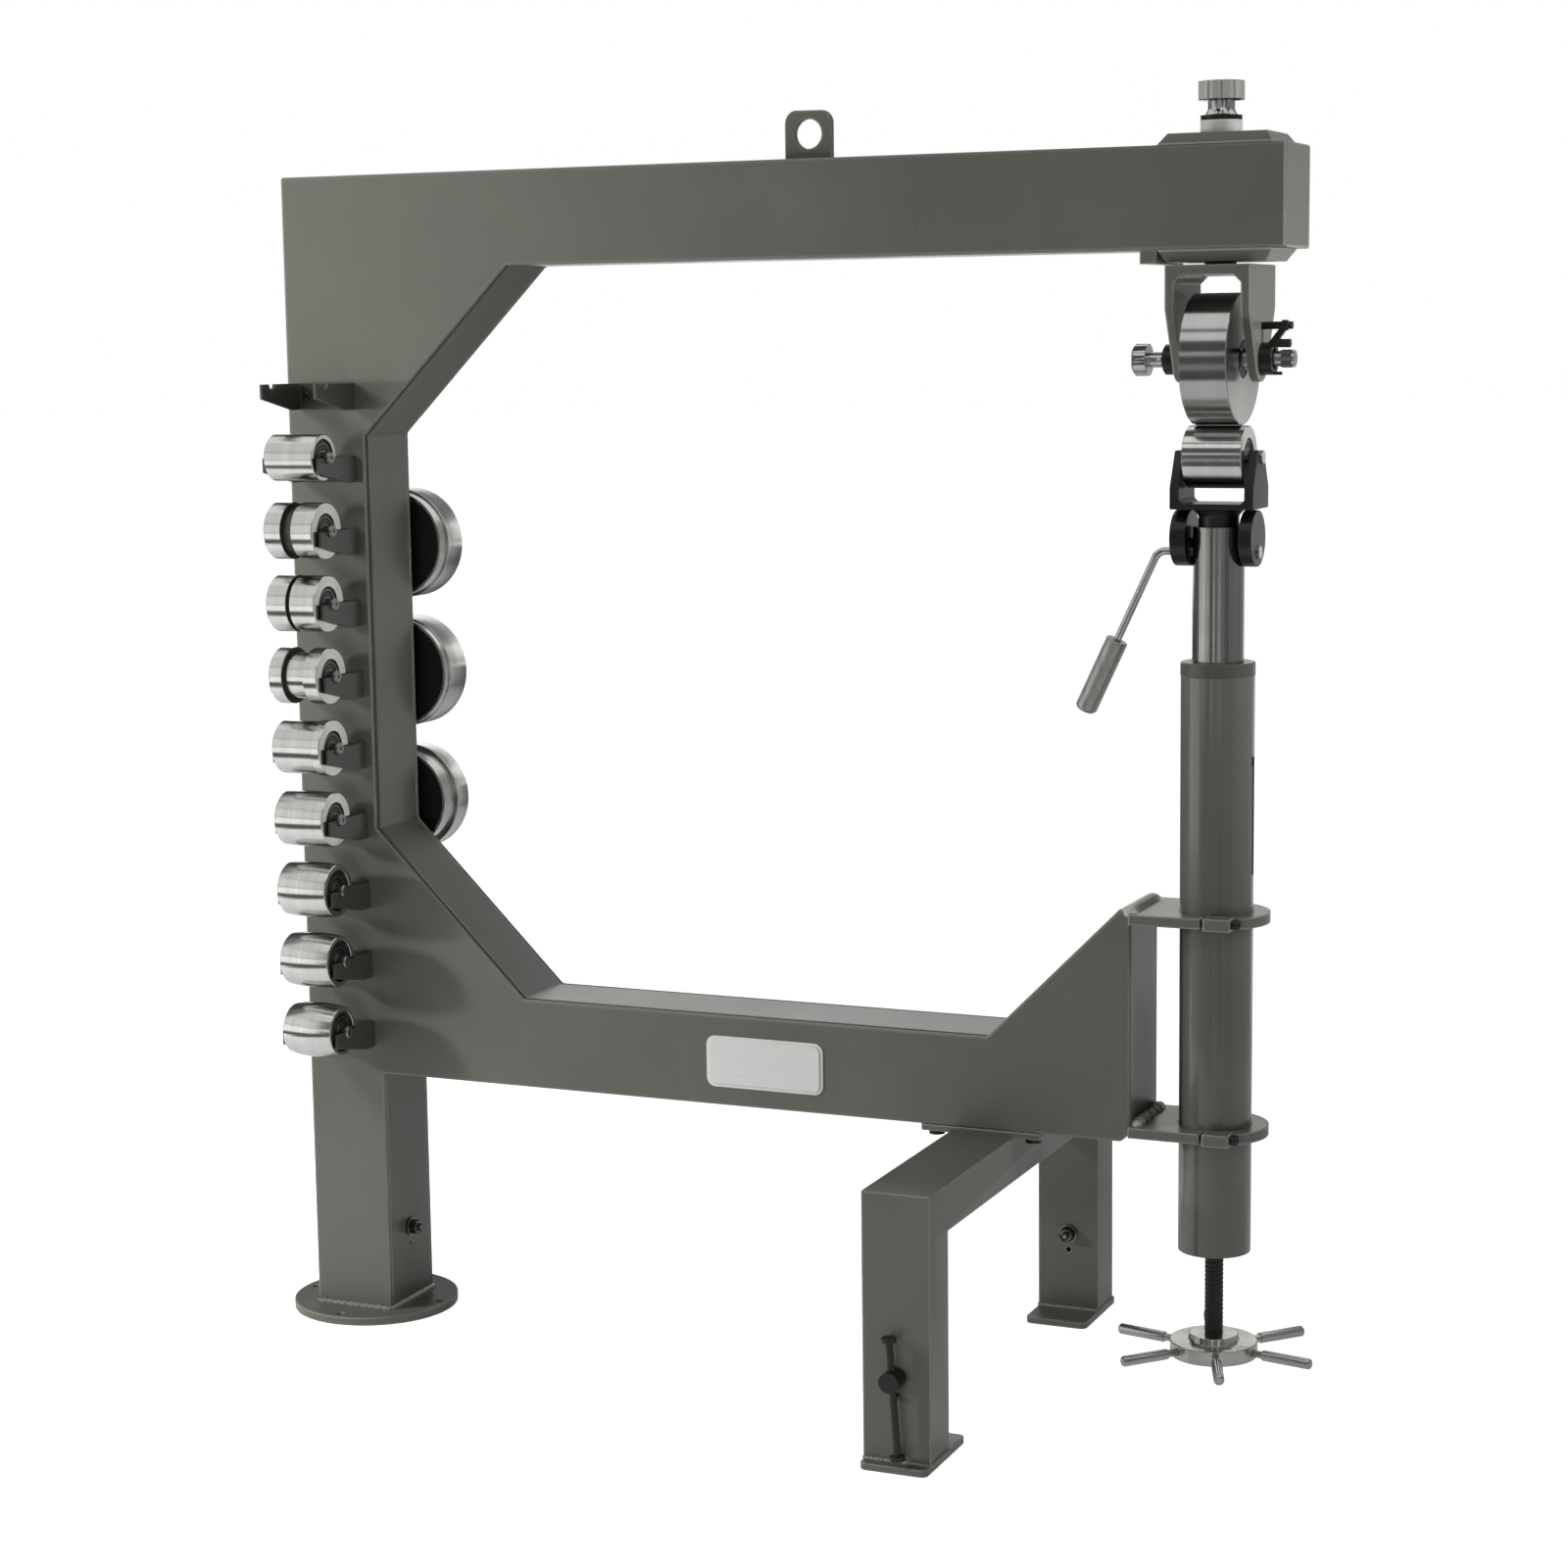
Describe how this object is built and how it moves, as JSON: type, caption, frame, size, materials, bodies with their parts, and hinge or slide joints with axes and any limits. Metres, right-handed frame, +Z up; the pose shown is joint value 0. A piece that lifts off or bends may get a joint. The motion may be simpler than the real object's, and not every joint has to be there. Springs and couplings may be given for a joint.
{
  "type": "english wheel",
  "caption": "Floor-standing english wheel: C-shaped box frame, large upper wheel over an anvil on a screw post, anvil rack and lift-down casters.",
  "frame": {"origin": "centre of the rear base disc's floor bolt circle, on the floor", "axes": "+Z up, +X along the throat from the column to the wheels, -Y to the front where the anvil rack is"},
  "size_m": [1.283, 0.67, 1.434],
  "materials": {
    "paint": "satin olive grey paint",
    "black_steel": "black oxide",
    "wheel_steel": "fine turned steel",
    "bare_steel": "turned bare steel",
    "polished_steel": "polished",
    "light_metal": "satin",
    "plate": "blank satin plate",
    "grip": "light grey grip",
    "caster_tyre": "dark nylon"
  },
  "bodies": {
    "frame": {"front_plate": "paint", "rear_plate": "paint", "throat_web": "paint", "outer_web": "paint", "lifting_eye": "paint", "name_plate": "plate", "nose_bosses": "paint", "top_collar": "light_metal", "base_plate": "paint", "saddle_plate": "paint", "crossbeam": "paint", "front_legs": "paint", "foot_plates": "paint", "frame_bolts": "black_steel", "rack_brackets": "black_steel", "storage_axles": "bare_steel", "outer_tube": "paint", "tube_cap": "paint", "post_clamps": "paint", "guide_key": "black_steel", "screw_bearing": "bare_steel"},
    "post": {"inner_post": "bare_steel", "screw_nut": "bare_steel"},
    "quick_cam": {"cam_shaft": "bare_steel", "cam_discs": "black_steel", "lever_rod": "bare_steel", "lever_grip": "grip"},
    "anvil_yoke": {"lower_yoke": "black_steel", "anvil_axle": "bare_steel"},
    "anvil": {"working_anvil": "wheel_steel"},
    "kick_screw": {"lift_screw": "black_steel", "kick_wheel": "bare_steel", "kick_spokes": "polished_steel"},
    "wheel_yoke": {"spindle": "black_steel", "upper_yoke": "paint", "axle_lock": "black_steel"},
    "axle": {"wheel_axle": "bare_steel"},
    "wheel": {"upper_wheel": "wheel_steel"},
    "knob": {"draw_knob": "light_metal"},
    "spare_anvil_1": {"anvil_1": "wheel_steel"},
    "spare_anvil_2": {"anvil_2": "wheel_steel"},
    "spare_anvil_3": {"anvil_3": "wheel_steel"},
    "spare_anvil_4": {"anvil_4": "wheel_steel"},
    "spare_anvil_5": {"anvil_5": "wheel_steel"},
    "spare_anvil_6": {"anvil_6": "wheel_steel"},
    "spare_anvil_7": {"anvil_7": "wheel_steel"},
    "spare_anvil_8": {"anvil_8": "wheel_steel"},
    "spare_anvil_9": {"anvil_9": "wheel_steel"},
    "stored_wheel_1": {"spare_wheel_1": "wheel_steel"},
    "stored_wheel_2": {"spare_wheel_2": "wheel_steel"},
    "stored_wheel_3": {"spare_wheel_3": "wheel_steel"},
    "caster_crank_1": {"caster_shaft_1": "black_steel"},
    "caster_slide_1": {"caster_fork_1": "bare_steel"},
    "caster_roller_1": {"caster_wheel_1": "caster_tyre"},
    "caster_crank_2": {"caster_shaft_2": "black_steel"},
    "caster_slide_2": {"caster_fork_2": "bare_steel"},
    "caster_roller_2": {"caster_wheel_2": "caster_tyre"},
    "caster_crank_3": {"caster_shaft_3": "black_steel"},
    "caster_slide_3": {"caster_fork_3": "bare_steel"},
    "caster_roller_3": {"caster_wheel_3": "caster_tyre"}
  },
  "joints": [
    {"name": "post_lift", "type": "slide", "parent": "frame", "child": "post", "axis": [0, 0, 1], "range_m": [-0.085, 0]},
    {"name": "screw_turn", "type": "hinge", "parent": "frame", "child": "kick_screw", "pos_m": [1.067, 0, 0.069], "axis": [0, 0, 1], "range_deg": [0, 6120]},
    {"name": "yoke_drop", "type": "slide", "parent": "post", "child": "anvil_yoke", "axis": [0, 0, 1], "range_m": [-0.008, 0]},
    {"name": "lever_turn", "type": "hinge", "parent": "post", "child": "quick_cam", "pos_m": [1.067, 0, 0.9442], "axis": [1, 0, 0], "range_deg": [0, 90]},
    {"name": "anvil_spin", "type": "hinge", "parent": "anvil_yoke", "child": "anvil", "pos_m": [1.067, 0, 1.0445], "axis": [1, 0, 0], "continuous": true},
    {"name": "yoke_swivel", "type": "hinge", "parent": "frame", "child": "wheel_yoke", "pos_m": [1.067, 0, 1.245], "axis": [0, 0, 1], "range_deg": [-90, 90]},
    {"name": "axle_turn", "type": "hinge", "parent": "wheel_yoke", "child": "axle", "pos_m": [1.067, 0, 1.147], "axis": [1, 0, 0], "range_deg": [-90, 90]},
    {"name": "wheel_spin", "type": "hinge", "parent": "axle", "child": "wheel", "pos_m": [1.067, 0, 1.147], "axis": [1, 0, 0], "continuous": true},
    {"name": "knob_turn", "type": "hinge", "parent": "wheel_yoke", "child": "knob", "pos_m": [1.067, 0, 1.4], "axis": [0, 0, 1], "continuous": true},
    {"name": "spare_anvil_1_spin", "type": "hinge", "parent": "frame", "child": "spare_anvil_1", "pos_m": [0.0025, -0.115, 1.0448], "axis": [1, 0, 0], "continuous": true},
    {"name": "spare_anvil_2_spin", "type": "hinge", "parent": "frame", "child": "spare_anvil_2", "pos_m": [0.0025, -0.115, 0.9602], "axis": [1, 0, 0], "continuous": true},
    {"name": "spare_anvil_3_spin", "type": "hinge", "parent": "frame", "child": "spare_anvil_3", "pos_m": [0.0025, -0.115, 0.8756], "axis": [1, 0, 0], "continuous": true},
    {"name": "spare_anvil_4_spin", "type": "hinge", "parent": "frame", "child": "spare_anvil_4", "pos_m": [0.0025, -0.115, 0.791], "axis": [1, 0, 0], "continuous": true},
    {"name": "spare_anvil_5_spin", "type": "hinge", "parent": "frame", "child": "spare_anvil_5", "pos_m": [0.0025, -0.115, 0.7064], "axis": [1, 0, 0], "continuous": true},
    {"name": "spare_anvil_6_spin", "type": "hinge", "parent": "frame", "child": "spare_anvil_6", "pos_m": [0.0025, -0.115, 0.6218], "axis": [1, 0, 0], "continuous": true},
    {"name": "spare_anvil_7_spin", "type": "hinge", "parent": "frame", "child": "spare_anvil_7", "pos_m": [0.0025, -0.115, 0.5372], "axis": [1, 0, 0], "continuous": true},
    {"name": "spare_anvil_8_spin", "type": "hinge", "parent": "frame", "child": "spare_anvil_8", "pos_m": [0.0025, -0.115, 0.4526], "axis": [1, 0, 0], "continuous": true},
    {"name": "spare_anvil_9_spin", "type": "hinge", "parent": "frame", "child": "spare_anvil_9", "pos_m": [0.0025, -0.115, 0.368], "axis": [1, 0, 0], "continuous": true},
    {"name": "stored_wheel_1_spin", "type": "hinge", "parent": "frame", "child": "stored_wheel_1", "pos_m": [0.024, 0.08, 0.934], "axis": [0, 1, 0], "continuous": true},
    {"name": "stored_wheel_2_spin", "type": "hinge", "parent": "frame", "child": "stored_wheel_2", "pos_m": [0.024, 0.08, 0.778], "axis": [0, 1, 0], "continuous": true},
    {"name": "stored_wheel_3_spin", "type": "hinge", "parent": "frame", "child": "stored_wheel_3", "pos_m": [0.024, 0.08, 0.622], "axis": [0, 1, 0], "continuous": true},
    {"name": "caster_1_drop", "type": "slide", "parent": "frame", "child": "caster_slide_1", "axis": [0, 0, 1], "range_m": [-0.02, 0]},
    {"name": "caster_1_crank", "type": "hinge", "parent": "frame", "child": "caster_crank_1", "pos_m": [0.814, -0.284, 0.101], "axis": [0, 1, 0], "range_deg": [0, 180]},
    {"name": "caster_1_roll", "type": "hinge", "parent": "caster_slide_1", "child": "caster_roller_1", "pos_m": [0.814, -0.284, 0.031], "axis": [0, 1, 0], "continuous": true},
    {"name": "caster_2_drop", "type": "slide", "parent": "frame", "child": "caster_slide_2", "axis": [0, 0, 1], "range_m": [-0.02, 0]},
    {"name": "caster_2_crank", "type": "hinge", "parent": "frame", "child": "caster_crank_2", "pos_m": [0.814, 0.284, 0.101], "axis": [0, -1, 0], "range_deg": [0, 180]},
    {"name": "caster_2_roll", "type": "hinge", "parent": "caster_slide_2", "child": "caster_roller_2", "pos_m": [0.814, 0.284, 0.031], "axis": [0, 1, 0], "continuous": true},
    {"name": "caster_3_drop", "type": "slide", "parent": "frame", "child": "caster_slide_3", "axis": [0, 0, 1], "range_m": [-0.02, 0]},
    {"name": "caster_3_crank", "type": "hinge", "parent": "frame", "child": "caster_crank_3", "pos_m": [0, 0, 0.101], "axis": [1, 0, 0], "range_deg": [0, 180]},
    {"name": "caster_3_roll", "type": "hinge", "parent": "caster_slide_3", "child": "caster_roller_3", "pos_m": [0, 0, 0.031], "axis": [0, 1, 0], "continuous": true}
  ],
  "couplings": [
    {"joint": "screw_turn", "follows": "post_lift", "rad_per_m": -1256.6},
    {"joint": "lever_turn", "follows": "yoke_drop", "rad_per_m": -196.35},
    {"joint": "caster_1_crank", "follows": "caster_1_drop", "rad_per_m": -157.08},
    {"joint": "caster_2_crank", "follows": "caster_2_drop", "rad_per_m": -157.08},
    {"joint": "caster_3_crank", "follows": "caster_3_drop", "rad_per_m": -157.08}
  ]
}
